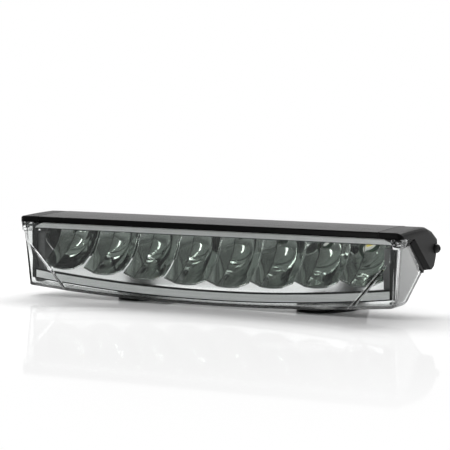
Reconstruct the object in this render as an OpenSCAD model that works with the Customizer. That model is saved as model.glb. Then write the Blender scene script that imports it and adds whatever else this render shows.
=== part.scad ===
// Eight-cup LED driving light: a bar lamp that stands on two feet.
// X runs along the bar, Y from the lens to the back, Z up from the ground.

/* [Bar] */
// Length over the two end caps
bar_length = 432; // [432:1:480]
// Length of one end cap along the bar
cap_length = 24; // [22:1:24]
// Height of the roof crest above the ground
roof_z = 85; // [84.6:0.2:89]
// Depth from the fascia to the back
bar_depth = 94; // [94:1:104]
// Height of the fascia above the lens
fascia_h = 6.6; // [6.2:0.1:7.2]

/* [Cooling fins] */
// Width of the groove between two fins
groove_w = 3.6; // [3:0.2:4.4]
// Distance between grooves
groove_pitch = 7.2; // [6.8:0.2:9]
// Thickness of the back wall behind the grooves
wall_t = 6; // [5:0.5:8]

/* [Reflectors] */
// Mouth radius of the two middle cups
cup_r = 51; // [48:0.5:51]
// Wall of the reflector moulding
cup_wall = 2; // [1.6:0.1:2.2]
// Depth of a cup from mouth to back
cup_depth = 48; // [44:0.5:48]

/* [Light guides] */
// Height of the upper guide's face
guide_h = 5.6; // [5.2:0.1:5.8]
// Height of the lower guide's face
low_guide_h = 7.4; // [6.6:0.1:7.6]

/* [Lens] */
// Wall of the clear moulding
lens_wall = 3; // [2.6:0.1:3.2]
// How far each end of the lens leans in from top to bottom
lens_lean = 5; // [4:0.1:5.6]
// Height of the lens bottom's middle above the ground
lens_z = 2.2; // [2:0.1:2.4]
// Radius of the lens's upright front corners, seen from above
lens_corner_r = 8; // [6:0.5:9]
// Rise of the lens bottom from the middle to the ends
lens_bow = 8.3; // [7:0.1:9]
// Rise of the lower guide and its rails from the middle to the ends
guide_bow = 11.6; // [11:0.1:12]
// Depth of the step along the crease at each lower front corner
crease_step = 1.2; // [0.8:0.1:1.4]
// Tilt of the facet outside each crease
crease_angle = 2; // [1:0.5:3]

/* [Feet] */
// Place of the left foot along the bar
left_foot_x = -90; // [-130:1:-60]
// Place of the right foot along the bar
right_foot_x = 114; // [60:1:130]
// Width of a foot
foot_w = 46; // [40:1:50]
// Radius of the hole for the vehicle's bolt
foot_hole_r = 4.25; // [3.25:0.25:5.25]
// Thickness of the rubber pad under a foot
pad_t = 1.4; // [1:0.1:1.6]

/* [Screws] */
// Radius of the channel screws that clamp the feet
channel_screw_r = 3; // [2.5:0.25:3]
// Radius of the small screws inside
small_screw_r = 1.25; // [1:0.05:1.4]
// Radius of an end cap screw's button head
button_r = 4.75; // [4:0.25:5]

/* [Hidden] */

$fn = 48;
fit = 0.3;
hole_fit = 0.1;
cup_count = 8;
cup_top_z = 70.2;

// The section is drawn from the lens, and then moved back to the bar's middle.
front_y = -9.5;
fascia_y = front_y + 1.5;
back_y = fascia_y + bar_depth;
gland_out = 12;
mid_y = (front_y + back_y + gland_out) / 2;
half = bar_length / 2;
seam_x = half - cap_length;
cup_pitch = 2 * seam_x / cup_count;
seal_t = 0.8;

// Roof line.
crest_y = 45;
front_fall = 1.4;
back_fall = 13;
fascia_z = roof_z - front_fall - fascia_h;
under_z = 43.2;
cap_under_z = 42.2;
edge_r = 1.5;

// The line on which the caps meet the lens gasket, from its upper to its rear end.
gasket_t = 3;
rim_top = [21, cup_top_z + 1.6];
rim_rear = [59, 41.7];
rim_run = rim_rear - rim_top;
rim_dir = rim_run / norm(rim_run);
rim_out = [-rim_dir[1], rim_dir[0]];
rim_slope = atan2(-rim_dir[1], rim_dir[0]);
lip_w = 8;
step_y = 7.5;
mouth_y = 5;

// Room inside the housing.
shelf_z = cup_top_z + 3.8;
shelf_y = 14;
inner_y = mouth_y + cup_depth + 5;
inner_z = 53.2;

// Lens section.
lens_half = half - 3.5;
low_half = lens_half - lens_lean;
lens_top_z = fascia_z - fit;
lens_draft = 4.5;
face_lean = atan2(lens_draft, lens_top_z);
heel = [24, 13.8];
lens_rear = rim_rear - rim_out * gasket_t;
heel_dir = (lens_rear - heel) / norm(lens_rear - heel);

// Bezel section, as places along Y at the upper and at the lower rail.
rail_lip = 1.2;
top_lip = 1.8;
rail_web = 0.8;
guide_d = 2.6;
board_t = 0.8;
guide_led = [3, 0.1, 1.6];
up_front = 2.6;
low_front = 1.6;
rail_depth = guide_d + guide_led[1] + board_t + rail_web;
guide_end = half - 16;
up_guide_end = guide_end + 2;
post_w = 5;
guide_z = lens_z + 5.6;
upper_guide_z = lens_top_z - guide_h;
bezel_low_z = cup_top_z + fit;

// T-slot channel for the feet.
channel_y = back_y - 20.5;
channel_open = 2 * channel_screw_r + 0.6;
channel_w = 11.6;
channel_lip = 2.6;
channel_h = 5.2;

function crown(y) = roof_z - (y < crest_y ? front_fall * pow((crest_y - y) / (crest_y - fascia_y), 2)
                                          : back_fall * pow((y - crest_y) / (back_y - crest_y), 2.3));
function roof_line(n) = [for (i = [0:n]) let (y = fascia_y + bar_depth * i / n) [y, crown(y)]];
function rim_corner(d) = rim_top + [-d * tan(rim_slope / 2), -d];
function lens_rise(x) = lens_z + lens_bow * pow(x / 200, 2);
function bow(x) = guide_bow * pow(x / 200, 2);
function cup_x(i) = (i - (cup_count + 1) / 2) * cup_pitch;
function cup_radius(i) = cup_r - 8.5 * pow(abs(i - 4.5) / 3.5, 1.4);

led_y = mouth_y + cup_depth - 12.5;

module at_middle() { translate([0, -mid_y, 0]) children(); }

// Pulls a YZ drawing out along X.
module along_x(x0, x1) {
    translate([x0, 0, 0]) rotate([90, 0, 90]) linear_extrude(x1 - x0) children();
}

// Pulls an XZ drawing out along Y.
module along_y(y0, y1) {
    translate([0, y1, 0]) rotate([90, 0, 0]) linear_extrude(y1 - y0) children();
}

module both_ends() {
    children();
    mirror([1, 0, 0]) children();
}

module round_corners(r) { offset(r) offset(-r) children(); }

// Button head screw whose head sits on the origin and whose shank runs down.
module button_screw(head_r, head_h, shank_r, shank_l, socket_r) {
    dome_r = (head_r * head_r + head_h * head_h) / (2 * head_h);
    difference() {
        union() {
            rotate_extrude() intersection() {
                translate([0, head_h - dome_r]) circle(dome_r);
                square([head_r, head_h]);
            }
            translate([0, 0, -shank_l]) cylinder(h = shank_l + 0.1, r = shank_r);
        }
        translate([0, 0, head_h * 0.45]) cylinder(h = head_h, r = socket_r, $fn = 6);
    }
}

module pan_screw(shank_r, shank_l) {
    button_screw(shank_r * 2, shank_r * 1.3, shank_r, shank_l, shank_r * 0.9);
}

// Housing

module housing_section() {
    lip = rim_rear - rim_dir * lip_w;
    difference() {
        round_corners(edge_r) polygon(concat(
            [[fascia_y, fascia_z]], roof_line(28),
            [[back_y - 2, under_z + 20], [back_y - 5.5, under_z + 14], [back_y - 9.5, under_z + 7.5],
             [back_y - 13.5, under_z + 2.5], [back_y - 17, under_z], [rim_rear[0] + 2, under_z],
             rim_rear, lip,
             [inner_y, inner_z], [inner_y, shelf_z], [shelf_y, shelf_z], [shelf_y - 2, fascia_z + 1],
             [fascia_y + 4, fascia_z + 1], [fascia_y + 4, fascia_z]]));
        channel_gap();
    }
}

module channel_gap() {
    translate([channel_y - channel_open / 2, under_z - 1]) square([channel_open, channel_lip + 2]);
    translate([channel_y - channel_w / 2, under_z + channel_lip]) square([channel_w, channel_h]);
}

// Grooves between the fins are milled from the back, and leave flats for the gland and the vent.
groove_z0 = 53.2;
groove_z1 = 69.2;

module fin_grooves() {
    last = floor((seam_x - 16) / groove_pitch);
    for (i = [-last:last]) {
        x = i * groove_pitch;
        if (abs(abs(x) - gland_x) > 13)
            translate([x - groove_w / 2, inner_y + wall_t, groove_z0])
                cube([groove_w, bar_depth, groove_z1 - groove_z0]);
    }
}

module housing() {
    color([0.07, 0.07, 0.07]) at_middle() difference() {
        along_x(-seam_x + seal_t, seam_x - seal_t) housing_section();
        fin_grooves();
        for (x = [-gland_x, gland_x]) translate([x, back_flat, gland_z]) rotate([-90, 0, 0]) {
            cylinder(h = 20, r = flat_r);
            cylinder(h = 60, r = gland_r + hole_fit, center = true);
        }
        for (x = board_screw_x) translate([x, board_screw_y, shelf_z - 1])
            cylinder(h = 6.5, r = small_screw_r + hole_fit);
        for (x = driver_screw_x) translate([x, inner_y - 1, driver_screw_z])
            rotate([-90, 0, 0]) cylinder(h = 5, r = small_screw_r + hole_fit);
        for (side = [-1, 1]) translate([side * seam_x, cap_screw[0], cap_screw[1]])
            rotate([0, 90, 0])
                cylinder(h = 2 * cap_screw_reach + 2, r = cap_screw_r + hole_fit, center = true);
    }
}

// End caps

cap_back = [
    [back_y - 1.5, cap_under_z + 21], [back_y - 5, cap_under_z + 15], [back_y - 9, cap_under_z + 8.5],
    [back_y - 13, cap_under_z + 3], [back_y - 19, cap_under_z]];

module cap_section() {
    round_corners(edge_r) polygon(concat(
        [[fascia_y, fascia_z]], roof_line(28),
        cap_back,
        [[rim_rear[0] + 1, cap_under_z], rim_rear, rim_top,
         [step_y, rim_top[1]], [step_y, fascia_z]]));
}

// The section with its rounded outer end: slices that shrink on a quarter circle.
module cap_blank() {
    end_r = 7;
    back_grow = 2;
    steps = 5;
    intersection() {
        along_x(seam_x, half) cap_section();
        hull() for (i = [0:steps]) let (a = 90 * i / steps)
            along_x(seam_x - 1, half - end_r * (1 - sin(a))) offset(delta = -end_r * (1 - cos(a)))
                polygon(concat(
                    [[fascia_y, 0]], roof_line(7), [for (p = cap_back) p + [back_grow, 0]],
                    [[back_y - 19, 0]]));
    }
}

cap_screw = [back_y - 8.5, 61.7];
cap_screw_r = 2.5;
cap_screw_seat = 0.8;
cap_screw_reach = 10;
cap_screw_head = 5.4;

// A chamfer along the cap's outer edge, between two points of its outline.
module edge_chamfer(from, to, over) {
    run = to - from;
    width = 4;
    translate([half, from[0], from[1]]) rotate([atan2(-run[0], run[1]), 0, 0])
        linear_extrude(norm(run) + over)
            polygon([[-width - 1, 1], [1, 1], [1, -width - 1]]);
}

module right_cap_shape() {
    difference() {
        cap_blank();
        edge_chamfer([step_y, rim_top[1]], rim_top, 1.4);
        edge_chamfer(rim_top, rim_rear, 6);
        translate([half - cap_screw_seat, cap_screw[0], cap_screw[1]])
            rotate([0, 90, 0]) cylinder(h = 10, r = button_r + 1.2);
        translate([seam_x - 1, cap_screw[0], cap_screw[1]])
            rotate([0, 90, 0]) cylinder(h = cap_length + 2, r = cap_screw_r + hole_fit);
        translate([lug_screw_x, step_y - 1, lug_screw_z])
            rotate([-90, 0, 0]) cylinder(h = 8, r = lens_screw_r + hole_fit);
        translate([rear_tab_x[1], rear_tab_y, cap_under_z - 1])
            cylinder(h = 6, r = lens_screw_r + hole_fit);
        translate([bezel_screw_x, step_y - 1, bezel_screw_z])
            rotate([-90, 0, 0]) cylinder(h = 8, r = small_screw_r + hole_fit);
        translate([panel_screw_x, panel_screw_y, rim_top[1] - 1])
            cylinder(h = 5.5, r = small_screw_r + hole_fit);
    }
}

module right_end_cap() { color([0.05, 0.05, 0.05]) at_middle() right_cap_shape(); }
module left_end_cap() {
    color([0.05, 0.05, 0.05]) at_middle() mirror([1, 0, 0]) right_cap_shape();
}

module cap_seal_shape() {
    inset = 0.8;
    along_x(seam_x - seal_t, seam_x) difference() {
        offset(delta = -inset) housing_section();
        translate([channel_y, 0]) square([channel_w, under_z + channel_lip]);
        translate(cap_screw) circle(cap_screw_r + hole_fit);
    }
}

module right_cap_seal() { color([0.02, 0.02, 0.02]) at_middle() cap_seal_shape(); }
module left_cap_seal() { color([0.02, 0.02, 0.02]) at_middle() mirror([1, 0, 0]) cap_seal_shape(); }

module end_cap_screws() {
    color([0.1, 0.1, 0.1]) at_middle() both_ends()
        translate([half - cap_screw_seat, cap_screw[0], cap_screw[1]]) rotate([0, 90, 0])
            button_screw(button_r, cap_screw_head, cap_screw_r,
                         cap_length - cap_screw_seat + cap_screw_reach, 2);
}

// Outer lens

module lens_outline() {
    n = 24;
    up_half = lens_end(lens_top_z + 20);
    round_corners(6) polygon(concat(
        [[-up_half, lens_top_z + 20]],
        [for (i = [0:n]) let (x = -low_half + 2 * low_half * i / n) [x, lens_rise(x)]],
        [[up_half, lens_top_z + 20]]));
}

// Half the length of the lens at a height.
function lens_end(z) =
    lens_half - lens_lean * (lens_top_z - z) / (lens_top_z - lens_rise(low_half));

// Rounds an upright front corner, along the leaning line in which front and end meet.
module lens_corner_cut(inset, wider) {
    r = lens_corner_r - inset;
    out = 6;
    slack = 0.03;
    end_lean = atan2(lens_lean, lens_top_z - lens_rise(low_half));
    both_ends() translate([lens_half - inset + wider, front_y + inset, lens_top_z])
        rotate([face_lean, end_lean, 0]) translate([0, 0, -2 * lens_top_z])
            linear_extrude(3 * lens_top_z) difference() {
                translate([-r, -out]) square([r + out, r + out]);
                translate([-r, r]) circle(r + slack);
            }
}

module lens_section() {
    drop = heel - heel_dir * 40;
    polygon([
        [front_y, lens_top_z + 60], [front_y, lens_top_z], [front_y + lens_draft, 0],
        drop, lens_rear, lens_rear + [0, 90]]);
}

// The facet outside the crease that runs across each lower front corner, behind a slanted step.
module crease_cut(inset) {
    low = [half - 53, 11];
    high = [half - 19, 49.2];
    run = high - low;
    slant = 1.7 * crease_step;
    reach = 60;
    both_ends() translate([0, front_y, lens_top_z]) rotate([face_lean, 0, 0])
        translate([low[0], inset, low[1] - lens_top_z]) rotate([0, -atan2(run[1], run[0]), 0])
            along_x(-reach, 2 * reach) polygon([
                [-reach, 0], [0, 0], [crease_step, -slant],
                [crease_step + reach * tan(crease_angle), -slant - reach], [-reach, -slant - reach]]);
}

module lens_body(inset) {
    difference() {
        intersection() {
            along_x(-half, half) offset(delta = -inset) lens_section();
            along_y(-30, 90) offset(delta = -inset) lens_outline();
        }
        crease_cut(inset);
        lens_corner_cut(inset, 0);
    }
}

// Everything above the gasket, and everything above the fascia's underside.
module rim_cut() {
    far = lens_rear + rim_dir * 20;
    polygon([
        [step_y - fit, roof_z], [step_y - fit, rim_top[1] - gasket_t], rim_corner(gasket_t), far,
        [back_y, roof_z]]);
}

lens_screw_r = 1.25;
lug_out = 2.5;
lug_x = [guide_end + post_w + 0.4, lens_half + lug_out];
lug_z = lens_top_z - 9.2;
lug_screw_x = lens_half - 3.5;
lug_screw_z = rim_top[1] + 1.6;
lug_floor_y = -2;
rear_tab_x = [-seam_x - 6, seam_x + 6];
rear_tab_y = rim_rear[0] + 4.2;
rear_tab_t = 2.6;

// A block at each upper front corner, with a pocket for a screw from the front.
module lens_lug() {
    difference() {
        intersection() {
            along_y(front_y, step_y - fit) polygon([
                [lug_x[0], lug_z], [lens_half - 0.5, lug_z], [lug_x[1], lens_top_z - 3.5],
                [lug_x[1], lens_top_z], [lug_x[0], lens_top_z]]);
            along_x(0, half) lens_section();
        }
        lens_corner_cut(0, lug_out);
    }
}

module lug_pocket() {
    pocket_r = 2 * lens_screw_r + fit;
    translate([lug_screw_x, lug_floor_y, lug_screw_z]) rotate([90, 0, 0])
        cylinder(h = 20, r = pocket_r);
    translate([lug_screw_x - pocket_r, lug_floor_y - 20, lug_screw_z])
        cube([2 * pocket_r, 20, 20]);
    translate([lug_screw_x, 0, lug_screw_z]) rotate([90, 0, 0])
        cylinder(h = 40, r = lens_screw_r + hole_fit, center = true);
}

module rear_tab() {
    into = [-heel_dir[1], heel_dir[0]];
    low_z = cap_under_z - rear_tab_t;
    difference() {
        along_x(-6, 6) polygon([
            lens_rear - heel_dir * 6 + into, lens_rear - heel_dir * 0.8 + into * 1.4,
            lens_rear - heel_dir * 0.6, [rear_tab_y - 1.5, cap_under_z], [rear_tab_y + 4, cap_under_z],
            [rear_tab_y + 4, low_z], [rear_tab_y - 3, low_z]]);
        translate([0, rear_tab_y, 0]) cylinder(h = roof_z, r = lens_screw_r + hole_fit);
    }
}

module outer_lens() {
    color([0.85, 0.87, 0.88, 0.35]) at_middle() difference() {
        union() {
            difference() {
                lens_body(0);
                lens_body(lens_wall);
                along_x(-half, half) rim_cut();
                translate([-half, front_y - 1, lens_top_z]) cube([bar_length, back_y, 60]);
            }
            both_ends() lens_lug();
            for (x = rear_tab_x) translate([x, 0, 0]) rear_tab();
        }
        both_ends() lug_pocket();
    }
}

// The seal that runs up both ends and along the rear edge of the lens.
module lens_gasket() {
    outer_x = lens_half - 1.2;
    band = 6.4;
    bead = 5;
    color([0.02, 0.02, 0.02]) at_middle() {
        both_ends() along_x(outer_x - band, outer_x) polygon([
            [step_y, rim_top[1] - gasket_t], rim_corner(gasket_t), lens_rear, rim_rear, rim_top,
            [step_y, rim_top[1]]]);
        along_x(-outer_x, outer_x) polygon([
            lens_rear, rim_rear, rim_rear - rim_dir * bead, lens_rear - rim_dir * bead]);
    }
}

module lens_screws() {
    color([0.75, 0.75, 0.76]) at_middle() {
        both_ends() translate([lug_screw_x, lug_floor_y, lug_screw_z])
            rotate([90, 0, 0]) pan_screw(lens_screw_r, 15);
        for (x = rear_tab_x) translate([x, rear_tab_y, cap_under_z - rear_tab_t])
            rotate([180, 0, 0]) pan_screw(lens_screw_r, 7);
    }
}

// Bezel and light guides

// A band that follows the bow of the lens, from z0 to z1 at the middle.
module bowed_band(half_w, z0, z1) {
    n = 24;
    intersection() {
        translate([-half_w, 0]) square([2 * half_w, 2 * roof_z]);
        polygon(concat(
            [for (i = [0:n]) let (x = half * (2 * i / n - 1)) [x, z0 + bow(x)]],
            [for (i = [n:-1:0]) let (x = half * (2 * i / n - 1)) [x, z1 + bow(x)]]));
    }
}

bezel_screw_x = guide_end + post_w / 2;
bezel_screw_z = lens_top_z - 2.8;

// The upper guide's face, whose outer corners are cut off aslant.
module upper_guide_outline(grow) {
    e = up_guide_end + grow;
    top = lens_top_z;
    polygon([
        [-e, upper_guide_z], [e, upper_guide_z], [e, upper_guide_z + 1.2], [e - 10.5, top],
        [-e + 10.5, top], [-e, upper_guide_z + 1.2]]);
}

module bezel_rails() {
    outer = guide_end + post_w;
    low = guide_z - rail_lip;
    high = guide_z + low_guide_h + top_lip;
    along_y(low_front, low_front + rail_depth) {
        bowed_band(outer, low, guide_z);
        bowed_band(outer, guide_z + low_guide_h, high);
    }
    along_y(low_front + rail_depth - rail_web, low_front + rail_depth)
        bowed_band(outer, low, high);
    translate([-outer, up_front + rail_depth - rail_web, bezel_low_z])
        cube([2 * outer, rail_web, lens_top_z - bezel_low_z]);
    translate([-outer, up_front, bezel_low_z])
        cube([2 * outer, rail_depth, upper_guide_z - bezel_low_z]);
}

module bezel_post() {
    low = guide_z - rail_lip;
    corner = 12;
    intersection() {
        along_x(guide_end, guide_end + post_w) polygon([
            [low_front, low], [up_front, upper_guide_z], [up_front, lens_top_z],
            [up_front + rail_depth, lens_top_z], [up_front + rail_depth, bezel_low_z],
            [low_front + rail_depth, bezel_low_z], [low_front + rail_depth, low]]);
        along_y(low_front - 1, up_front + rail_depth + 1)
            bowed_band(guide_end + post_w, low, roof_z);
    }
    translate([guide_end - corner, up_front, bezel_low_z])
        cube([corner + 0.1, rail_depth, lens_top_z - bezel_low_z]);
}

module bezel() {
    color([0.05, 0.05, 0.05]) at_middle() difference() {
        intersection() {
            union() {
                bezel_rails();
                both_ends() bezel_post();
            }
            along_y(-20, 20) offset(delta = -lens_wall - fit) lens_outline();
        }
        along_y(up_front - 1, up_front + rail_depth - rail_web) upper_guide_outline(fit / 2);
        both_ends() translate([bezel_screw_x, 0, bezel_screw_z]) rotate([-90, 0, 0])
            cylinder(h = 20, r = small_screw_r + hole_fit);
    }
}

// Small screws that hold the bezel and the side panels up to the caps.
module bezel_screws() {
    color([0.2, 0.2, 0.2]) at_middle() both_ends() {
        translate([bezel_screw_x, up_front, bezel_screw_z])
            rotate([90, 0, 0]) pan_screw(small_screw_r, 11);
        translate([panel_screw_x, panel_screw_y, panel_boss_z]) rotate([180, 0, 0])
            pan_screw(small_screw_r, rim_top[1] - panel_boss_z + 4);
    }
}

module upper_light_guide() {
    color([0.72, 0.73, 0.73]) at_middle() along_y(up_front, up_front + guide_d)
        upper_guide_outline(0);
}

module lower_light_guide() {
    color([0.72, 0.73, 0.73]) at_middle() along_y(low_front, low_front + guide_d)
        bowed_band(guide_end - fit / 2, guide_z, guide_z + low_guide_h);
}

board_inset = 0.4;
guide_led_pitch = cup_pitch / 2;
guide_leds = 2 * cup_count;

module upper_guide_board() {
    color([0.05, 0.25, 0.1]) at_middle()
        translate([-seam_x + 4, up_front + guide_d + guide_led[1], upper_guide_z + board_inset])
            cube([2 * seam_x - 8, board_t, guide_h - 2 * board_inset]);
}

module lower_guide_board() {
    y0 = low_front + guide_d + guide_led[1];
    color([0.05, 0.25, 0.1]) at_middle() along_y(y0, y0 + board_t)
        bowed_band(guide_end - 2, guide_z + board_inset, guide_z + low_guide_h - board_inset);
}

// Rows of small LEDs between each guide and its board.
module upper_guide_leds() {
    color([0.9, 0.85, 0.6]) at_middle() for (i = [1:guide_leds]) {
        x = (i - (guide_leds + 1) / 2) * guide_led_pitch;
        translate([x - guide_led[0] / 2, up_front + guide_d, upper_guide_z + guide_h / 2])
            cube(guide_led);
    }
}

module lower_guide_leds() {
    color([0.9, 0.85, 0.6]) at_middle() for (i = [1:guide_leds]) {
        x = (i - (guide_leds + 1) / 2) * guide_led_pitch;
        translate([x - guide_led[0] / 2, low_front + guide_d, guide_z + low_guide_h / 2 - 1 + bow(x)])
            cube(guide_led);
    }
}

// Side panels

panel_screw_x = seam_x + 5.5;
panel_screw_y = 14;
panel_gap = 0.5;
panel_t = 1.8;
panel_top_z = rim_top[1] - gasket_t - 1.8;
panel_boss_z = panel_top_z - 1.8;

module panel_ring() {
    difference() {
        offset(delta = -lens_wall - panel_gap) lens_outline();
        offset(delta = -lens_wall - panel_gap - panel_t) lens_outline();
    }
}

module right_panel_shape() {
    front = low_front + rail_depth + 0.4;
    low_z = 18;
    top_in = rim_corner(gasket_t + 2);
    into = [-heel_dir[1], heel_dir[0]] * (lens_wall + panel_gap);
    low_in = heel + into - heel_dir * 7;
    intersection() {
        along_y(front, inner_y) panel_ring();
        along_x(guide_end - 10, half) polygon([
            [front, low_in[1]], low_in, lens_rear + into - heel_dir * 4, [top_in[0], panel_top_z],
            [front, panel_top_z]]);
        translate([guide_end - 2, 0, 0]) cube([40, 90, roof_z]);
    }
    along_y(front, front + panel_t) intersection() {
        offset(delta = -lens_wall - panel_gap) lens_outline();
        translate([seam_x + fit, low_z]) square([cap_length, panel_top_z - low_z]);
    }
    difference() {
        union() {
            translate([panel_screw_x - 4, panel_screw_y - 4, panel_boss_z])
                cube([lens_half - lens_wall - panel_gap - 2 - panel_screw_x + 4, 8, 1.8]);
            translate([panel_screw_x, panel_screw_y, panel_boss_z])
                cylinder(h = rim_top[1] - panel_boss_z, r = 3);
        }
        translate([panel_screw_x, panel_screw_y, 0])
            cylinder(h = roof_z, r = small_screw_r + hole_fit);
    }
}

module right_side_panel() { color([0.35, 0.36, 0.36]) at_middle() right_panel_shape(); }
module left_side_panel() {
    color([0.35, 0.36, 0.36]) at_middle() mirror([1, 0, 0]) right_panel_shape();
}

// Reflector bank

// One parabola of revolution, with its mouth towards the front.
module cup_solid(r, extra) {
    n = 12;
    focal = r * r / (4 * cup_depth);
    rotate([90, 0, 0]) rotate_extrude() polygon(concat(
        [for (i = [0:n]) let (t = cup_depth * pow(i / n, 2))
            [sqrt(4 * focal * t) + extra * min(i, 1), t - cup_depth - extra * (1 - i / n)]],
        [[r + extra, 1], [0, 1]]));
}

module cup_cell(i, extra, over) {
    wide = cup_pitch + over;
    intersection() {
        translate([cup_x(i), mouth_y, cup_top_z]) cup_solid(cup_radius(i), extra);
        translate([cup_x(i) - wide / 2, mouth_y - over, cup_top_z - 60])
            cube([wide, cup_depth + 10, 60 + over]);
    }
}

board_screw_x = [-3.5 * cup_pitch - 18, -cup_pitch, cup_pitch, 3.5 * cup_pitch + 18];
board_screw_y = 24;
window = 9;
flange_t = 1.9;
flange_front = up_front + rail_depth + 0.4;
pad_film = 0.3;
led_board_t = 1.6;
board_y = [21, 56];

module board_holes() {
    for (x = board_screw_x) translate([x, board_screw_y, cup_top_z - 5])
        cylinder(h = 12, r = small_screw_r + hole_fit);
}

module reflector_bank() {
    bank = cup_count * cup_pitch - 2 * fit;
    color([0.35, 0.37, 0.36]) at_middle() difference() {
        intersection() {
            union() {
                for (i = [1:cup_count]) cup_cell(i, cup_wall, 0);
                translate([-half, flange_front, cup_top_z])
                    cube([bar_length, mouth_y + cup_depth + cup_wall - flange_front, flange_t]);
            }
            translate([-bank / 2, 0, 0]) cube([bank, back_y, roof_z]);
        }
        for (i = [1:cup_count]) cup_cell(i, 0, 0.01);
        for (i = [1:cup_count]) translate([cup_x(i), led_y, cup_top_z])
            cube([window, window, 10], center = true);
        board_holes();
    }
}

module thermal_pad() {
    color([0.5, 0.5, 0.55]) at_middle() difference() {
        translate([-seam_x + 3, board_y[0] + 1, shelf_z - pad_film])
            cube([2 * seam_x - 6, board_y[1] - board_y[0] - 2, pad_film]);
        board_holes();
    }
}

module led_board() {
    color([0.05, 0.25, 0.1]) at_middle() difference() {
        translate([-seam_x + 2, board_y[0], shelf_z - pad_film - led_board_t])
            cube([2 * seam_x - 4, board_y[1] - board_y[0], led_board_t]);
        board_holes();
    }
}

module led_board_screws() {
    color([0.75, 0.75, 0.76]) at_middle()
        for (x = board_screw_x) translate([x, board_screw_y, cup_top_z])
            rotate([180, 0, 0]) pan_screw(small_screw_r, 8);
}

// An LED package with its lit face down.
module led(i) {
    base = 6;
    base_t = 0.9;
    face = 4;
    face_t = 1.3;
    top = shelf_z - pad_film - led_board_t;
    color([0.95, 0.85, 0.3]) at_middle() translate([cup_x(i), led_y, top]) {
        translate([-base / 2, -base / 2, -base_t]) cube([base, base, base_t]);
        translate([-face / 2, -face / 2, -face_t]) cube([face, face, 0.5]);
    }
}

// Driver board

driver_half = 2 * cup_pitch - 4;
driver_screw_x = [-driver_half + 8, driver_half - 8];
driver_z = [54.2, 69.2];
driver_screw_z = driver_z[0] + 3.5;
driver_part_z = driver_z[0] + 7;
driver_board_t = 1.6;
driver_y = inner_y - driver_board_t;

module driver_board() {
    color([0.05, 0.25, 0.1]) at_middle() difference() {
        translate([-driver_half, driver_y, driver_z[0]])
            cube([2 * driver_half, driver_board_t, driver_z[1] - driver_z[0]]);
        for (x = driver_screw_x) translate([x, inner_y, driver_screw_z])
            rotate([90, 0, 0]) cylinder(h = 10, r = small_screw_r + hole_fit, center = true);
    }
}

module driver_inductors() {
    color([0.25, 0.25, 0.27]) at_middle() for (x = [-cup_pitch, 0, cup_pitch])
        translate([x, driver_y, driver_part_z]) rotate([90, 0, 0]) {
            cylinder(h = 1, r = 4);
            cylinder(h = 4, r = 3);
            translate([0, 0, 3.2]) cylinder(h = 0.8, r = 4);
        }
}

module driver_capacitors() {
    color([0.6, 0.6, 0.62]) at_middle() for (side = [-1, 1], dx = [-7, 7])
        translate([side * cup_pitch + dx, driver_y, driver_part_z]) rotate([90, 0, 0])
            cylinder(h = 5, r = 2.5);
}

module driver_connector() {
    pitch = 3;
    pin = 1.6;
    x0 = driver_half - 25;
    color([0.9, 0.9, 0.88]) at_middle() difference() {
        translate([x0, driver_y - 2, driver_z[0] + 1]) cube([3 * pitch, 2, 5]);
        for (i = [0:2]) translate([x0 + (pitch - pin) / 2 + i * pitch, driver_y - 3, driver_z[0] + 2])
            cube([pin, 2, 3]);
    }
}

module driver_board_screws() {
    color([0.75, 0.75, 0.76]) at_middle() for (x = driver_screw_x)
        translate([x, driver_y, driver_screw_z]) rotate([90, 0, 0]) pan_screw(small_screw_r, 5);
}

// Cable gland and breather vent, each on a flat milled into the back

gland_r = 5;
gland_x = 2.25 * cup_pitch;
gland_z = 62.2;
back_flat = back_y - 7;
flat_r = 8;
gland_reach = back_flat - inner_y;

module at_gland(x) {
    at_middle() translate([x, back_flat, gland_z]) rotate([-90, 0, 0]) children();
}

module gland_body() {
    cable_r = 2.8;
    color([0.06, 0.06, 0.06]) at_gland(gland_x) difference() {
        union() {
            translate([0, 0, -gland_reach]) cylinder(h = gland_reach + 2, r = gland_r);
            translate([0, 0, 1]) cylinder(h = 4.5, r = 7.4, $fn = 6);
            translate([0, 0, 5.5]) cylinder(h = 8, r = gland_r);
        }
        cylinder(h = 60, r = cable_r, center = true);
    }
}

module gland_nut() {
    color([0.06, 0.06, 0.06]) at_gland(gland_x) difference() {
        union() {
            translate([0, 0, 5.7]) cylinder(h = 8.5, r = 7, $fn = 6);
            translate([0, 0, 13.2]) rotate_extrude() intersection() {
                circle(6);
                square([6, gland_out + back_y - back_flat - 13.2]);
            }
        }
        cylinder(h = 13.7, r = gland_r + hole_fit);
        cylinder(h = 30, r = 3.2);
    }
}

module gland_seal() {
    color([0.02, 0.02, 0.02]) at_gland(gland_x) difference() {
        cylinder(h = 1, r = gland_r + 1.8);
        cylinder(h = 4, r = gland_r + hole_fit, center = true);
    }
}

module breather_vent() {
    color([0.06, 0.06, 0.06]) at_gland(-gland_x) {
        translate([0, 0, -gland_reach]) cylinder(h = gland_reach, r = gland_r);
        cylinder(h = 3, r = 7);
        translate([0, 0, 3]) rotate_extrude() intersection() {
            translate([0, -9]) circle(11);
            square([6, 2]);
        }
    }
}

// Feet

foot_y = 32;
foot_nose = foot_y - 4 - foot_w / 2;
flange_drop = 5;
flange_y = channel_y - 4.2;
arm_y = [channel_y + 5.6, channel_y + 10];
arm_half = 10;
arm_dx = 18;
gusset_t = 4;
foot_screw_dx = 5.5;

// Each foot's arm stands outwards of its plate.
module at_foot(x) { at_middle() translate([x, 0, 0]) mirror([x < 0 ? 1 : 0, 0, 0]) children(); }

module foot_plan(inset) {
    r = foot_w / 2 - inset;
    hull() {
        translate([0, foot_y - 4]) circle(r);
        translate([-r, foot_y + 8])
            square([r + arm_dx + arm_half + gusset_t - inset, arm_y[1] - foot_y - 8 - inset]);
    }
}

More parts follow.
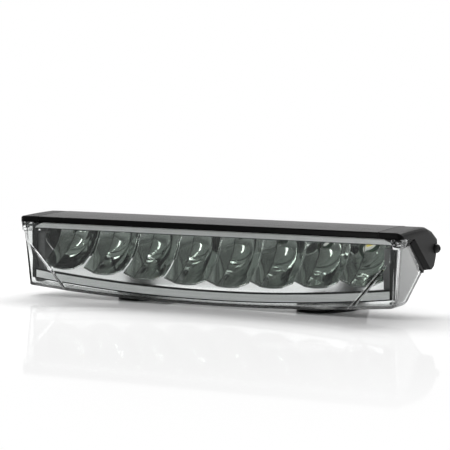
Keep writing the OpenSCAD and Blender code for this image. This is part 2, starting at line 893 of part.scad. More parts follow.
module foot(x) {
    plate_z = 7;
    color([0.05, 0.05, 0.05]) at_foot(x) difference() {
        union() {
            intersection() {
                translate([0, 0, pad_t]) linear_extrude(under_z) foot_plan(0);
                along_x(-foot_w, 2 * foot_w) polygon([
                    [foot_nose, pad_t], [foot_nose, pad_t + 1], [foot_nose + 5, pad_t + 1.4],
                    [foot_nose + 14, plate_z], [arm_y[1], plate_z + 1], [arm_y[1], pad_t]]);
            }
            along_x(arm_dx - arm_half, arm_dx + arm_half) polygon([
                [arm_y[0], pad_t], [arm_y[0], under_z - flange_drop - 2],
                [arm_y[0] - 0.4, under_z - flange_drop], [flange_y, under_z - flange_drop],
                [flange_y, under_z], [arm_y[1] - 5, under_z], [arm_y[1], under_z - 6],
                [arm_y[1], pad_t]]);
            for (x = [arm_dx - arm_half, arm_dx + arm_half])
                along_x(x - gusset_t / 2, x + gusset_t / 2) polygon([
                    [foot_y + 14, plate_z - 1], [arm_y[0], 26], [arm_y[1], 26], [arm_y[1], pad_t],
                    [arm_y[0], pad_t]]);
        }
        translate([0, foot_y, -1]) cylinder(h = 20, r = foot_hole_r);
        for (side = [-1, 1]) translate([arm_dx + side * foot_screw_dx, channel_y, 0])
            cylinder(h = 60, r = channel_screw_r + hole_fit);
    }
}

module left_foot() { foot(left_foot_x); }
module right_foot() { foot(right_foot_x); }

module foot_pad(x) {
    color([0.02, 0.02, 0.02]) at_foot(x) difference() {
        linear_extrude(pad_t) foot_plan(fit);
        translate([0, foot_y, 0]) cylinder(h = 10, r = foot_hole_r + 0.5, center = true);
    }
}

module left_foot_pad() { foot_pad(left_foot_x); }
module right_foot_pad() { foot_pad(right_foot_x); }

module each_channel_screw() {
    for (x = [left_foot_x, right_foot_x], side = [-1, 1])
        at_foot(x) translate([arm_dx + side * foot_screw_dx, channel_y, under_z]) children();
}

module channel_screws() {
    color([0.7, 0.7, 0.72]) each_channel_screw()
        translate([0, 0, -flange_drop - 1]) rotate([180, 0, 0])
            button_screw(4.6, 3.2, channel_screw_r, 13, 2);
}

module channel_washers() {
    color([0.7, 0.7, 0.72]) each_channel_screw() difference() {
        translate([0, 0, -flange_drop - 1]) cylinder(h = 1, r = 5);
        cylinder(h = 20, r = channel_screw_r + hole_fit, center = true);
    }
}

module channel_nuts() {
    color([0.7, 0.7, 0.72]) each_channel_screw() difference() {
        translate([-5.2, -5.2, channel_lip]) cube([10.4, 10.4, 4]);
        cylinder(h = 40, r = channel_screw_r + hole_fit, center = true);
    }
}

housing();
left_end_cap();
right_end_cap();
left_cap_seal();
right_cap_seal();
end_cap_screws();
outer_lens();
lens_gasket();
lens_screws();
bezel();
bezel_screws();
left_side_panel();
right_side_panel();
upper_light_guide();
lower_light_guide();
upper_guide_board();
lower_guide_board();
upper_guide_leds();
lower_guide_leds();
reflector_bank();
thermal_pad();
led_board();
led_board_screws();
for (i = [1:8]) led(i);
driver_board();
driver_inductors();
driver_capacitors();
driver_connector();
driver_board_screws();
gland_body();
gland_nut();
gland_seal();
breather_vent();
left_foot();
right_foot();
left_foot_pad();
right_foot_pad();
channel_screws();
channel_washers();
channel_nuts();
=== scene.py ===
import math

import bmesh
import bpy
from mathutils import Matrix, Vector


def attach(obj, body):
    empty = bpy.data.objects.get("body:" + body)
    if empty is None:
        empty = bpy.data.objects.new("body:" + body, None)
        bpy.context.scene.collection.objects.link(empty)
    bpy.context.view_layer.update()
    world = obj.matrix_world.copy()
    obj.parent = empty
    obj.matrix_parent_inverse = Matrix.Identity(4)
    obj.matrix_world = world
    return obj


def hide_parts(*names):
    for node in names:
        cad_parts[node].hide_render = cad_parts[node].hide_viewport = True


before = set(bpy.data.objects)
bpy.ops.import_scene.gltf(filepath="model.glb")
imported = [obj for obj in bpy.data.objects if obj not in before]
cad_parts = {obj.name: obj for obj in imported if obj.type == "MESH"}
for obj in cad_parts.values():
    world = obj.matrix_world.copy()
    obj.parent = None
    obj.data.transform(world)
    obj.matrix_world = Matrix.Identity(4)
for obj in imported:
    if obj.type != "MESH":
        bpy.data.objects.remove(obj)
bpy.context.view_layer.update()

MM = 0.001


# Camera. The photograph is taken from the lamp's right, a little above its roof, through a
# long lens. Place, turn and focal length come from the lamp's straight edges and its cups.
photo_yaw = 28.0
photo_pitch = 5.079
focal_pixels = 1886.011
photo_pixels = 450
film_width = 36
camera_place = (0.89504, -1.683195, 0.247756)

camera_data = bpy.data.cameras.new("photo_camera")
camera_data.sensor_width = film_width
camera_data.lens = focal_pixels * film_width / photo_pixels
camera = bpy.data.objects.new("photo_camera", camera_data)
camera.location = camera_place
camera.rotation_euler = (math.radians(90 - photo_pitch), 0, math.radians(photo_yaw))
bpy.context.scene.collection.objects.link(camera)
bpy.context.scene.camera = camera
bpy.context.scene.view_settings.view_transform = "Standard"


# Studio. A pale floor that turns to plain white away from the lamp, a large soft box behind
# and over it, and a small one at each side. The room is dark in front, and a dark card and a
# white card lie there on the floor, which only the mirrors and the lens see.
back_seen = 1.0
front_seen = 0.25
top_seen = 0.52
turn_to_back = (-0.1, 0.4)
turn_to_top = (0.05, 0.35)
fill_way = (0, 0.6, 0.8)
fill_turn = (-0.3, 0.6)
fill_under = 0.2
fill_over = 0.5
floor_fade = (0.22, 0.8)
lamp_foot = (0, 0, 0)
lamp_middle = (0, 0, 0.04)


def put_node(tree, kind, inputs=None, **fields):
    """Adds a node, with its fields set and its inputs set or linked."""
    made = tree.nodes.new(kind)
    for key, value in fields.items():
        setattr(made, key, value)
    for key, value in (inputs or {}).items():
        if isinstance(value, bpy.types.NodeSocket):
            tree.links.new(value, made.inputs[key])
        else:
            made.inputs[key].default_value = value
    return made


def sum_of(tree, kind, *terms):
    """One sum on numbers or sockets."""
    return put_node(tree, "ShaderNodeMath", dict(enumerate(terms)), operation=kind).outputs[0]


def span(tree, value, between=(0, 1), gives=(0, 1), smooth=False):
    """Stretches what lies between two bounds over the range that it gives."""
    return put_node(tree, "ShaderNodeMapRange", {
        "Value": value, "From Min": between[0], "From Max": between[1],
        "To Min": gives[0], "To Max": gives[1]},
        interpolation_type="SMOOTHSTEP" if smooth else "LINEAR").outputs["Result"]


def mix_colours(tree, mask, dark, light):
    """The colour that a mask runs from dark to light, each a colour or a socket."""
    dark, light = [(*end, 1) if isinstance(end, tuple) else end for end in (dark, light)]
    return put_node(tree, "ShaderNodeMix", {0: mask, 6: dark, 7: light},
                    data_type="RGBA").outputs[2]


def new_finish(name, colour, roughness, metallic=0.0, **plain):
    """A material with its plain values on the shader's own sockets."""
    made = bpy.data.materials.new(name)
    made.use_nodes = True
    shader = made.node_tree.nodes["Principled BSDF"]
    shader.inputs["Base Color"].default_value = (*colour, 1)
    shader.inputs["Roughness"].default_value = roughness
    shader.inputs["Metallic"].default_value = metallic
    for label, value in plain.items():
        shader.inputs[label.replace("_", " ")].default_value = value
    return made, made.node_tree, shader


def tint(tree, shader, mask, dark, light):
    """Lets a mask run the base colour from dark to light."""
    tree.links.new(mix_colours(tree, mask, dark, light), shader.inputs["Base Color"])


def flat_sheet(name, finish, left, right, front, back, height=0.0):
    """A flat sheet that lies in the studio."""
    mesh = bpy.data.meshes.new(name)
    mesh.from_pydata([(left, front, height), (right, front, height), (right, back, height),
                      (left, back, height)], [], [(0, 1, 2, 3)])
    mesh.materials.append(finish)
    sheet = bpy.data.objects.new(name, mesh)
    bpy.context.scene.collection.objects.link(sheet)
    return sheet


def soft_box(name, place, aim, width, height, watts):
    """A rectangular lamp that stands at place, faces aim and is out of the camera's sight."""
    data = bpy.data.lights.new(name, "AREA")
    data.shape = "RECTANGLE"
    data.size = width
    data.size_y = height
    data.energy = watts
    lamp = bpy.data.objects.new(name, data)
    lamp.location = place
    lamp.rotation_euler = (Vector(aim) - Vector(place)).to_track_quat("-Z", "Y").to_euler()
    lamp.visible_camera = False
    bpy.context.scene.collection.objects.link(lamp)


world = bpy.data.worlds.new("studio")
world.use_nodes = True
bpy.context.scene.world = world
sky = world.node_tree
sky.nodes["Background"].inputs["Color"].default_value = (1, 1, 1, 1)
sky_way = put_node(sky, "ShaderNodeTexCoord").outputs["Generated"]
sky_axes = put_node(sky, "ShaderNodeSeparateXYZ", {0: sky_way}).outputs
sky_seen = sum_of(
    sky, "MULTIPLY", span(sky, sky_axes["Y"], turn_to_back, (front_seen, back_seen), smooth=True),
    span(sky, sky_axes["Z"], turn_to_top, (1, top_seen), smooth=True))
sky_lit = sum_of(sky, "GREATER_THAN",
                 put_node(sky, "ShaderNodeLightPath").outputs["Diffuse Depth"], 0.5)
sky_over = put_node(sky, "ShaderNodeVectorMath", {0: sky_way, 1: fill_way},
                    operation="DOT_PRODUCT").outputs["Value"]
sky_strength = put_node(sky, "ShaderNodeMix", {
    0: sky_lit, 2: sky_seen, 3: span(sky, sky_over, fill_turn, (fill_under, fill_over))},
    data_type="FLOAT")
sky.links.new(sky_strength.outputs[0], sky.nodes["Background"].inputs["Strength"])

paper, tree, shader = new_finish("pale_floor", (0.93, 0.93, 0.93), 0.04, IOR=1.05)
paper_grain = put_node(tree, "ShaderNodeTexNoise", {"Scale": 30.0, "Detail": 3.0}).outputs["Fac"]
tree.links.new(span(tree, paper_grain, gives=(0.02, 0.06)), shader.inputs["Roughness"])
paper_reach = put_node(tree, "ShaderNodeVectorMath", {
    0: put_node(tree, "ShaderNodeTexCoord").outputs["Object"]}, operation="LENGTH")
paper_fade = span(tree, paper_reach.outputs["Value"], floor_fade, smooth=True)
tint(tree, shader, paper_fade, (0.93, 0.93, 0.93), (0.0, 0.0, 0.0))
shader.inputs["Emission Color"].default_value = (1, 1, 1, 1)
tree.links.new(paper_fade, shader.inputs["Emission Strength"])
tree.links.new(span(tree, paper_fade, gives=(0.5, 0)), shader.inputs["Specular IOR Level"])
floor = flat_sheet("floor", paper, left=-6, right=6, front=-4, back=8)

soft_box("overhead_box", (-0.45, 1.0, 1.3), lamp_foot, width=2.0, height=0.8, watts=35)
soft_box("left_box", (-1.5, -0.8, 0.9), lamp_middle, width=0.8, height=1.0, watts=7.5)
soft_box("right_box", (1.6, -0.4, 0.8), lamp_middle, width=0.7, height=0.9, watts=2.5)

dark_card, tree, shader = new_finish(
    "dark_card", (0.23, 0.24, 0.235), 0.9, Specular_IOR_Level=0.0)
card_lit = sum_of(tree, "GREATER_THAN",
                  put_node(tree, "ShaderNodeLightPath").outputs["Diffuse Depth"], 0.5)
card_below = put_node(tree, "ShaderNodeNewGeometry").outputs["Backfacing"]
card_open = put_node(tree, "ShaderNodeMixShader", {
    0: sum_of(tree, "MAXIMUM", card_lit, card_below), 1: shader.outputs["BSDF"],
    2: put_node(tree, "ShaderNodeBsdfTransparent").outputs["BSDF"]})
tree.links.new(card_open.outputs[0], tree.nodes["Material Output"].inputs["Surface"])
white_card = dark_card.copy()
white_card.name = "white_card"
white_shader = white_card.node_tree.nodes["Principled BSDF"]
white_shader.inputs["Emission Color"].default_value = (1, 1, 1, 1)
white_shader.inputs["Emission Strength"].default_value = 6.0
for card in [
        flat_sheet("card_before_lamp", dark_card, left=-3.5, right=3.5, front=-2.6, back=-0.05,
                   height=1 * MM),
        flat_sheet("white_card", white_card, left=-0.11, right=0.21, front=-0.85, back=-0.43,
                   height=1.5 * MM)]:
    card.visible_camera = False
    card.visible_diffuse = False
    card.visible_shadow = False


# Housing. One extruded aluminium section, sawn to length, with its cooling fins milled into
# the back. It is linished along its length and anodised black.
def new_group(name, inputs, outputs):
    """An empty effect group with named value inputs and outputs."""
    group = bpy.data.node_groups.new(name, "ShaderNodeTree")
    for label, start in inputs.items():
        socket = group.interface.new_socket(
            label, in_out="INPUT", socket_type="NodeSocketFloat")
        socket.default_value = start
    for label in outputs:
        group.interface.new_socket(label, in_out="OUTPUT", socket_type="NodeSocketFloat")
    return group, group.nodes.new("NodeGroupInput"), group.nodes.new("NodeGroupOutput")


def use_group(tree, group, **inputs):
    """Places an effect group in a material with its own values."""
    used = tree.nodes.new("ShaderNodeGroup")
    used.node_tree = group
    for label, value in inputs.items():
        used.inputs[label.replace("_", " ")].default_value = value
    return used


def axes_of(tree):
    """The place on the piece in metres, as its X, Y and Z."""
    place = put_node(tree, "ShaderNodeTexCoord").outputs["Object"]
    return put_node(tree, "ShaderNodeSeparateXYZ", {0: place}).outputs


def relief(tree, shader, height, depth, strength=1.0, over=None):
    """Raises a mask from the surface by depth in metres, over another relief if there is one."""
    bump = put_node(tree, "ShaderNodeBump", {
        "Height": height, "Distance": depth, "Strength": strength})
    if over is not None:
        tree.links.new(over, bump.inputs["Normal"])
    tree.links.new(bump.outputs["Normal"], shader.inputs["Normal"])
    return bump.outputs["Normal"]


def dress(finish, *names):
    """Gives CAD nodes their finish."""
    for name in names:
        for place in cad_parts[name].material_slots:
            place.material = finish


drawn, drawn_in, drawn_out = new_group(
    "drawn_lines", {"Lines per Metre": 900.0, "Length": 0.02}, ["Lines"])
drawn_axes = axes_of(drawn)
drawn_short = sum_of(drawn, "MULTIPLY", drawn_axes["X"], drawn_in.outputs["Length"])
drawn_place = put_node(drawn, "ShaderNodeCombineXYZ", {
    "X": drawn_short, "Y": drawn_axes["Y"], "Z": drawn_axes["Z"]}).outputs[0]
drawn_noise = put_node(drawn, "ShaderNodeTexNoise", {
    "Vector": drawn_place, "Scale": drawn_in.outputs["Lines per Metre"],
    "Detail": 4.0, "Roughness": 0.65})
drawn.links.new(drawn_noise.outputs["Fac"], drawn_out.inputs["Lines"])

anodised, tree, shader = new_finish(
    "black_anodised", (0.003, 0.003, 0.003), 0.3, Specular_IOR_Level=0.1)
lines = use_group(tree, drawn, Lines_per_Metre=1100.0, Length=0.012).outputs["Lines"]
tint(tree, shader, lines, (0.0015, 0.0015, 0.0015), (0.0045, 0.0045, 0.0045))
tree.links.new(span(tree, lines, gives=(0.2, 0.38)), shader.inputs["Roughness"])
relief(tree, shader, lines, 0.03 * MM, strength=0.6)
dress(anodised, "housing")


# End caps. Die-cast aluminium, shot-blasted and powder-coated satin black, each held to the
# housing over a thin seal by one button head screw.
skin, skin_in, skin_out = new_group(
    "cast_skin", {"Grain per Metre": 2600.0, "Patch Scale": 40.0}, ["Grain", "Patch"])
skin_place = put_node(skin, "ShaderNodeTexCoord").outputs["Object"]
skin_grain = put_node(skin, "ShaderNodeTexNoise", {
    "Vector": skin_place, "Scale": skin_in.outputs["Grain per Metre"],
    "Detail": 2.0, "Roughness": 0.6})
skin_patch = put_node(skin, "ShaderNodeTexNoise", {
    "Vector": skin_place, "Scale": skin_in.outputs["Patch Scale"], "Detail": 4.0})
skin.links.new(skin_grain.outputs["Fac"], skin_out.inputs["Grain"])
skin.links.new(skin_patch.outputs["Fac"], skin_out.inputs["Patch"])
noise_core = (0.3, 0.7)


def moulded(name, dark, light, smooth, rough, grains, depth, **plain):
    """A finish with the fine skin that a mould or a coat of powder leaves."""
    made, tree, shader = new_finish(name, dark, rough, **plain)
    marks = use_group(tree, skin, Grain_per_Metre=grains, Patch_Scale=40.0).outputs
    tint(tree, shader, span(tree, marks["Patch"], noise_core), dark, light)
    tree.links.new(span(tree, marks["Grain"], noise_core, (smooth, rough)),
                   shader.inputs["Roughness"])
    relief(tree, shader, marks["Grain"], depth)
    return made


powder = moulded("black_powder_coat", (0.002, 0.002, 0.002), (0.005, 0.005, 0.005),
                 smooth=0.36, rough=0.48, grains=2400.0, depth=0.04 * MM,
                 Specular_IOR_Level=0.1)
dress(powder, "left_end_cap", "right_end_cap")


# Seals and pads. Black moulded rubber: a thin seal between each end cap and the housing, the
# strip that seats the lens, the ring in the cable gland, and the pad under each foot.
rubber = moulded("black_rubber", (0.008, 0.008, 0.008), (0.014, 0.014, 0.014),
                 smooth=0.55, rough=0.75, grains=1800.0, depth=0.05 * MM)
dress(rubber, "left_cap_seal", "right_cap_seal", "lens_gasket", "gland_seal",
      "left_foot_pad", "right_foot_pad")


# Black screws. Blackened steel: one button head in the outer face of each end cap, and the
# bezel's screws, which go from the front into the end caps.
blackened = moulded("black_steel", (0.02, 0.02, 0.02), (0.035, 0.035, 0.035),
                    smooth=0.28, rough=0.42, grains=3000.0, depth=0.02 * MM, metallic=0.6)
dress(blackened, "end_cap_screws", "bezel_screws")


# Bright screws, washers and nuts. Stainless steel: the lens screws show through the clear
# lugs, the boards' screws are inside, and the channel screws clamp the feet to the housing.
stainless = moulded("bright_steel", (0.55, 0.55, 0.56), (0.68, 0.68, 0.69),
                    smooth=0.22, rough=0.4, grains=3000.0, depth=0.02 * MM, metallic=1.0)
dress(stainless, "lens_screws", "led_board_screws", "driver_board_screws",
      "channel_screws", "channel_washers", "channel_nuts")


# Feet. Black powder-coated plates under the lens, on arms that the channel screws clamp to
# the T-slot behind it.
dress(powder, "left_foot", "right_foot")


# Outer lens. One clear polycarbonate moulding that wraps the front, the underside and both
# ends, hard-coated outside and seated in the gasket. It is frosted at its foot and a little on
# its rear wall, and a glassy ridge follows the slanted fold at each side.
lens_bow = 0.2075
foot_edge = (6.5 * MM, 7.5 * MM)
rear_edge = (-22 * MM, -17 * MM)
end_wall = (200 * MM, 202 * MM)
fold_foot_x = 163 * MM
fold_foot_z = 11 * MM
fold_across = (0.747, 0, -0.665)
fold_half_width = 2 * MM
fold_rise = 1 * MM
fold_back = (-31 * MM, -30 * MM)
fold_top = (44 * MM, 52 * MM)
merge_within = 2e-6
flat_within = math.radians(0.6)
lens_edge = 1.1 * MM

clear, tree, shader = new_finish(
    "clear_lens", (0.97, 0.985, 0.98), 0.02, IOR=1.585, Transmission_Weight=1.0)
ripple = use_group(tree, skin, Grain_per_Metre=60.0).outputs["Grain"]
rippled = relief(tree, shader, ripple, 0.05 * MM, strength=0.4)
lens_axes = axes_of(tree)
lens_side = sum_of(tree, "ABSOLUTE", lens_axes["X"])
lens_x_square = sum_of(tree, "MULTIPLY", lens_axes["X"], lens_axes["X"])
lens_height = sum_of(tree, "MULTIPLY_ADD", lens_x_square, -lens_bow, lens_axes["Z"])
foot_rough = span(tree, lens_height, foot_edge, (0.22, 0.02))
rear_rough = sum_of(tree, "MULTIPLY", span(tree, lens_axes["Y"], rear_edge, (0, 0.4)),
                    span(tree, lens_side, end_wall, (1, 0)))
tree.links.new(sum_of(tree, "MAXIMUM", foot_rough, rear_rough), shader.inputs["Roughness"])

fold_place = put_node(tree, "ShaderNodeCombineXYZ", {"X": lens_side, "Z": lens_axes["Z"]})
fold_way = put_node(tree, "ShaderNodeVectorMath", {0: fold_place.outputs[0], 1: fold_across},
                    operation="DOT_PRODUCT").outputs["Value"]
fold_line = fold_foot_x * fold_across[0] + fold_foot_z * fold_across[2]
fold_far = sum_of(tree, "ABSOLUTE", sum_of(tree, "SUBTRACT", fold_way, fold_line))
fold = span(tree, fold_far, (0, fold_half_width), (1, 0), smooth=True)
fold = sum_of(tree, "MULTIPLY", fold, span(tree, lens_axes["Y"], fold_back, (1, 0)))
fold = sum_of(tree, "MULTIPLY", fold, span(tree, lens_axes["Z"], fold_top, (1, 0)))
relief(tree, shader, fold, fold_rise, over=rippled)

lens_shade = mix_colours(tree, span(tree, lens_height, foot_edge, (1, 0)),
                         (0.94, 0.95, 0.95), (0.12, 0.125, 0.125))
open_way = put_node(tree, "ShaderNodeBsdfTransparent", {"Color": lens_shade})
lens_mix = put_node(tree, "ShaderNodeMixShader", {
    0: put_node(tree, "ShaderNodeLightPath").outputs["Is Shadow Ray"],
    1: shader.outputs["BSDF"], 2: open_way.outputs["BSDF"]})
tree.links.new(lens_mix.outputs[0], tree.nodes["Material Output"].inputs["Surface"])

lens_shape = bmesh.new()
lens_shape.from_mesh(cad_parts["outer_lens"].data)
bmesh.ops.remove_doubles(lens_shape, verts=lens_shape.verts, dist=merge_within)
bmesh.ops.dissolve_limit(lens_shape, angle_limit=flat_within, verts=lens_shape.verts,
                         edges=lens_shape.edges)
lens_mesh = bpy.data.meshes.new("wrapped_lens")
lens_shape.to_mesh(lens_mesh)
lens_shape.free()
lens_mesh.materials.append(clear)
lens_mesh.shade_smooth()
lens_mesh.set_sharp_from_angle(angle=math.radians(30))
lens = bpy.data.objects.new("wrapped_lens", lens_mesh)
bpy.context.scene.collection.objects.link(lens)
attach(lens, "root")
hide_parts("outer_lens")
bevel = lens.modifiers.new("round_edges", "BEVEL")
bevel.width = lens_edge
bevel.segments = 4
bevel.limit_method = "ANGLE"
bevel.angle_limit = math.radians(30)
bevel.use_clamp_overlap = True
bevel.harden_normals = True
bevel.miter_outer = "MITER_ARC"


# Bezel. A satin black frame of two rails and two posts that holds the light guides in front
# of the cups, moulded in one piece and screwed up to the end caps.
satin = moulded("black_plastic", (0.003, 0.003, 0.003), (0.006, 0.006, 0.006),
                smooth=0.3, rough=0.42, grains=1600.0, depth=0.03 * MM,
                Specular_IOR_Level=0.15)
dress(satin, "bezel")


# Cable gland and breather vent. Moulded black plastic fittings, each in a hole of the back
# wall, on a flat that is milled across the fins.
dress(satin, "gland_body", "gland_nut", "breather_vent")


# Side panels. Smooth mid-grey mouldings that line the ends of the lens, held up by the
# bezel's screws.
grey = moulded("grey_plastic", (0.12, 0.122, 0.122), (0.16, 0.162, 0.162),
               smooth=0.35, rough=0.5, grains=1200.0, depth=0.03 * MM)
dress(grey, "left_side_panel", "right_side_panel")


# Light guides. Milky grey acrylic rods with fine lengthwise prisms, lit from behind by rows
# of small LEDs. The lower one is bowed with the lens. A faint glow is painted light that
# makes them lighter, though their LEDs are not lit.
painted_guide_glow = 0.07

milky, tree, shader = new_finish("light_guide", (0.7, 0.71, 0.71), 0.25)
prisms = use_group(tree, drawn, Lines_per_Metre=420.0, Length=0.004).outputs["Lines"]
tint(tree, shader, span(tree, prisms, noise_core), (0.8, 0.81, 0.8), (1.0, 1.0, 1.0))
relief(tree, shader, prisms, 0.1 * MM, strength=0.5)
shader.inputs["Emission Color"].default_value = (0.96, 1.0, 0.98, 1)
# Painted light: an even glow that lightens the guides.
shader.inputs["Emission Strength"].default_value = painted_guide_glow
dress(milky, "upper_light_guide", "lower_light_guide")


# Circuit boards. Green glass-fibre boards: one over the cups with the eight LEDs, one behind
# each light guide, and the driver board inside the housing, each held by screws or its rail.
board = moulded("circuit_board", (0.01, 0.07, 0.03), (0.02, 0.11, 0.05),
                smooth=0.3, rough=0.4, grains=900.0, depth=0.02 * MM)
dress(board, "upper_guide_board", "lower_guide_board", "led_board", "driver_board")


# LEDs. White ceramic packages with a yellow face, soldered to the boards. The eight large
# ones face down into their cups, and the rows of small ones face the light guides.
led_pitch = 48 * MM
led_row_y = (40.5 - 44.25) * MM
led_face_edge = (2.0 * MM, 2.1 * MM)
painted_led_glow = 0.5

phosphor, tree, shader = new_finish("led_package", (0.9, 0.72, 0.08), 0.4)
grit = use_group(tree, skin, Grain_per_Metre=3000.0).outputs["Grain"]
led_axes = axes_of(tree)
led_across = sum_of(tree, "PINGPONG", led_axes["X"], led_pitch / 2)
led_off_x = sum_of(tree, "SUBTRACT", led_pitch / 2, led_across)
led_off_y = sum_of(tree, "ABSOLUTE", sum_of(tree, "SUBTRACT", led_axes["Y"], led_row_y))
led_far = sum_of(tree, "MAXIMUM", led_off_x, led_off_y)
led_face = mix_colours(tree, grit, (0.75, 0.55, 0.03), (0.95, 0.8, 0.15))
led_colour = mix_colours(tree, span(tree, led_far, led_face_edge), led_face, (0.9, 0.9, 0.88))
tree.links.new(led_colour, shader.inputs["Base Color"])
# Painted light: the packages glow in their own colours, though the LEDs are not lit.
tree.links.new(led_colour, shader.inputs["Emission Color"])
shader.inputs["Emission Strength"].default_value = painted_led_glow
dress(phosphor, *["led_%d" % place for place in range(1, 9)],
      "upper_guide_leds", "lower_guide_leds")


# Reflector bank. Eight half-parabola cups and the flange over them, moulded in one piece and
# vacuum-metallised smoky grey. Each cup has three facets, and the end cups are shallower.
cup_count = 8
bank_sizes = {
    "Pitch": 48 * MM, "Mouth Radius": 51 * MM, "End Loss": 8.5 * MM, "Depth": 48 * MM,
    "Mouth Place": (5 - 44.25) * MM, "Top": 70.2 * MM, "Facet Edge": 12 * MM,
    "Facet Swell": 0.5 * MM, "Curve": 0.9,
    "Flange Place": (7.3 - 44.25) * MM, "Flange Back": (55 - 44.25) * MM,
    "Lamp Place": (40.5 - 44.25) * MM, "Window": 9 * MM}
wall_thickness = 0.8 * MM
crease_shade_band = (0.15 * MM, 0.5 * MM)

bank = bpy.data.node_groups.new("cup_row", "GeometryNodeTree")
bank_sockets = {"Cups": bank.interface.new_socket(
    "Cups", in_out="INPUT", socket_type="NodeSocketInt")}
for label in bank_sizes:
    bank_sockets[label] = bank.interface.new_socket(
        label, in_out="INPUT", socket_type="NodeSocketFloat")
bank_sockets["Finish"] = bank.interface.new_socket(
    "Finish", in_out="INPUT", socket_type="NodeSocketMaterial")
bank.interface.new_socket("Geometry", in_out="OUTPUT", socket_type="NodeSocketGeometry")
bank_in = bank.nodes.new("NodeGroupInput").outputs
bank_out = bank.nodes.new("NodeGroupOutput")


def calc(kind, *terms):
    """One sum in the bank's node tree."""
    return sum_of(bank, kind, *terms)


def row_of(sheet):
    """Repeats a unit sheet once for each cup, two units apart."""
    points = put_node(bank, "GeometryNodeMeshLine", {
        "Count": bank_in["Cups"], "Offset": (2, 0, 0)})
    repeated = put_node(bank, "GeometryNodeInstanceOnPoints", {
        "Points": points.outputs["Mesh"], "Instance": sheet.outputs["Mesh"]})
    return put_node(bank, "GeometryNodeRealizeInstances", {
        "Geometry": repeated.outputs["Instances"]}).outputs["Geometry"]


def placed(geometry, x, y, z):
    """Moves the points of a sheet to their place on the bank."""
    joined = put_node(bank, "ShaderNodeCombineXYZ", {"X": x, "Y": y, "Z": z})
    return put_node(bank, "GeometryNodeSetPosition", {
        "Geometry": geometry, "Position": joined.outputs[0]}).outputs["Geometry"]


# Which cup a point belongs to, and how far it is from the middle of that cup, in units.
unit_place = put_node(bank, "ShaderNodeSeparateXYZ", {
    0: put_node(bank, "GeometryNodeInputPosition").outputs["Position"]})
along = unit_place.outputs["X"]
deep = unit_place.outputs["Y"]
cup = calc("ROUND", calc("MULTIPLY", along, 0.5))
across = calc("SUBTRACT", along, calc("MULTIPLY", cup, 2.0))
middle = calc("MULTIPLY", calc("SUBTRACT", bank_in["Cups"], 1.0), 0.5)
from_middle = calc("SUBTRACT", cup, middle)
centre = calc("MULTIPLY", from_middle, bank_in["Pitch"])

# The cups' skins: a parabola behind each mouth, swollen a little within each facet.
loss = calc("POWER", calc("DIVIDE", calc("ABSOLUTE", from_middle), middle), 1.4)
radius = calc("SUBTRACT", bank_in["Mouth Radius"], calc("MULTIPLY", bank_in["End Loss"], loss))
dx = calc("MULTIPLY", across, bank_in["Pitch"])
side = calc("ABSOLUTE", dx)
is_middle = calc("LESS_THAN", side, bank_in["Facet Edge"])
on_middle = calc("DIVIDE", calc("ADD", dx, bank_in["Facet Edge"]),
                 calc("MULTIPLY", bank_in["Facet Edge"], 2.0))
on_side = calc("DIVIDE", calc("SUBTRACT", side, bank_in["Facet Edge"]),
               calc("SUBTRACT", calc("MULTIPLY", bank_in["Pitch"], 0.5),
                    bank_in["Facet Edge"]))
on_facet = calc("ADD", calc("MULTIPLY", on_middle, is_middle),
                calc("MULTIPLY", on_side, calc("SUBTRACT", 1.0, is_middle)))
swell = calc("MULTIPLY", calc("MULTIPLY", on_facet, calc("SUBTRACT", 1.0, on_facet)), 4.0)
local = calc("SUBTRACT", radius, calc("MULTIPLY", swell, bank_in["Facet Swell"]))
dx_square = calc("MULTIPLY", dx, dx)
local_square = calc("MULTIPLY", local, local)
least = calc("DIVIDE", calc("MULTIPLY", bank_in["Depth"], dx_square), local_square)
drop = calc("ADD", deep, 0.5)
parabola = calc("ADD", least, calc("MULTIPLY", calc("SUBTRACT", bank_in["Depth"], least),
                                   calc("MULTIPLY", drop, drop)))
from_back = calc("MULTIPLY", bank_in["Depth"], calc(
    "POWER", calc("DIVIDE", parabola, bank_in["Depth"]), bank_in["Curve"]))
cup_y = calc("SUBTRACT", calc("ADD", bank_in["Mouth Place"], bank_in["Depth"]), from_back)
cup_z = calc("SUBTRACT", bank_in["Top"], calc(
    "MULTIPLY", drop, calc("SQRT", calc("SUBTRACT", local_square, dx_square))))
cup_sheet = put_node(bank, "GeometryNodeMeshGrid", {"Vertices X": 49, "Vertices Y": 41})
skins = placed(row_of(cup_sheet), calc("ADD", centre, dx), cup_y, cup_z)

# The flange: nine fields over each cup, the middle one left open for the LED.
flange_sheet = put_node(bank, "GeometryNodeMeshGrid", {"Vertices X": 4, "Vertices Y": 4})
in_window = calc("MULTIPLY", calc("LESS_THAN", calc("ABSOLUTE", across), 0.1),
                 calc("LESS_THAN", calc("ABSOLUTE", deep), 0.1))
holed = put_node(bank, "GeometryNodeDeleteGeometry", {
    "Geometry": row_of(flange_sheet), "Selection": in_window}, domain="FACE")
half_window = calc("MULTIPLY", bank_in["Window"], 0.5)
at_edge = calc("GREATER_THAN", calc("ABSOLUTE", across), 0.3)
reach = calc("ADD", half_window, calc("MULTIPLY", at_edge, calc(
    "SUBTRACT", calc("MULTIPLY", bank_in["Pitch"], 0.5), half_window)))
flange_x = calc("ADD", centre, calc("MULTIPLY", reach, calc("SIGN", across)))
first_run = calc("SUBTRACT", calc("SUBTRACT", bank_in["Lamp Place"], half_window),
                 bank_in["Flange Place"])
last_run = calc("SUBTRACT", calc("SUBTRACT", bank_in["Flange Back"], half_window),
                bank_in["Lamp Place"])
flange_y = bank_in["Flange Place"]
for start, run in [(-0.3, first_run), (0.0, bank_in["Window"]), (0.3, last_run)]:
    flange_y = calc("ADD", flange_y, calc("MULTIPLY", calc("GREATER_THAN", deep, start), run))
flange = put_node(bank, "GeometryNodeFlipFaces", {
    "Mesh": placed(holed.outputs["Geometry"], flange_x, flange_y, bank_in["Top"])})

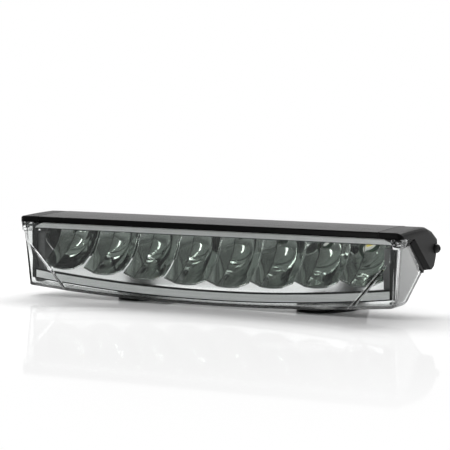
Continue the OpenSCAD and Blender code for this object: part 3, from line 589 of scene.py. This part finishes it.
both = bank.nodes.new("GeometryNodeJoinGeometry")
bank.links.new(skins, both.inputs[0])
bank.links.new(flange.outputs["Mesh"], both.inputs[0])
realized = put_node(bank, "GeometryNodeRealizeInstances", {"Geometry": both.outputs[0]})
finished = put_node(bank, "GeometryNodeSetMaterial", {
    "Geometry": realized.outputs[0], "Material": bank_in["Finish"]})
bank.links.new(finished.outputs["Geometry"], bank_out.inputs["Geometry"])

smoked, tree, shader = new_finish("smoked_mirror", (0.75, 0.78, 0.76), 0.06, metallic=1.0)
patches = use_group(tree, skin, Patch_Scale=30.0).outputs["Patch"]
metal = mix_colours(tree, span(tree, patches, noise_core), (0.7, 0.74, 0.71), (0.8, 0.83, 0.8))
cup_across = sum_of(tree, "PINGPONG", axes_of(tree)["X"], bank_sizes["Pitch"] / 2)
from_joint = sum_of(tree, "ABSOLUTE", sum_of(
    tree, "SUBTRACT", cup_across, bank_sizes["Facet Edge"]))
# Painted shade: a thin dark line on the mirror along each fold between the middle facet and the
# side facets of every cup.
tint(tree, shader, span(tree, from_joint, crease_shade_band), (0.12, 0.13, 0.12), metal)

mould = bpy.data.objects.new("cup_mould", bpy.data.meshes.new("cup_mould"))
bpy.context.scene.collection.objects.link(mould)
grow = mould.modifiers.new("cup_row", "NODES")
grow.node_group = bank
grow[bank_sockets["Cups"].identifier] = cup_count
for label, value in bank_sizes.items():
    grow[bank_sockets[label].identifier] = value
grow[bank_sockets["Finish"].identifier] = smoked
bpy.context.view_layer.update()
grown = mould.evaluated_get(bpy.context.evaluated_depsgraph_get())
cup_mesh = bpy.data.meshes.new_from_object(grown)
bpy.data.objects.remove(mould)
cup_mesh.shade_smooth()
cup_mesh.set_sharp_from_angle(angle=math.radians(5))

cups = bpy.data.objects.new("cup_bank", cup_mesh)
bpy.context.scene.collection.objects.link(cups)
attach(cups, "root")
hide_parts("reflector_bank")
wall = cups.modifiers.new("wall", "SOLIDIFY")
wall.thickness = wall_thickness
wall.offset = -1


# Thermal pad. A soft grey film between the LED board and the housing, which carries the heat
# of the LEDs to the fins. It is die-cut and sticks by itself.
film = moulded("thermal_film", (0.4, 0.4, 0.45), (0.5, 0.5, 0.55),
               smooth=0.6, rough=0.8, grains=900.0, depth=0.02 * MM)
dress(film, "thermal_pad")


# Driver parts. Pressed ferrite inductors, capacitors in aluminium cans and a white moulded
# connector, all soldered to the driver board.
ferrite = moulded("dark_ferrite", (0.05, 0.05, 0.055), (0.09, 0.09, 0.1),
                  smooth=0.4, rough=0.6, grains=2000.0, depth=0.04 * MM)
dress(ferrite, "driver_inductors")
can = moulded("can_metal", (0.5, 0.5, 0.52), (0.6, 0.6, 0.62),
              smooth=0.25, rough=0.4, grains=1500.0, depth=0.01 * MM, metallic=1.0)
dress(can, "driver_capacitors")
white = moulded("white_plastic", (0.7, 0.7, 0.67), (0.8, 0.8, 0.77),
                smooth=0.4, rough=0.5, grains=1200.0, depth=0.02 * MM)
dress(white, "driver_connector")
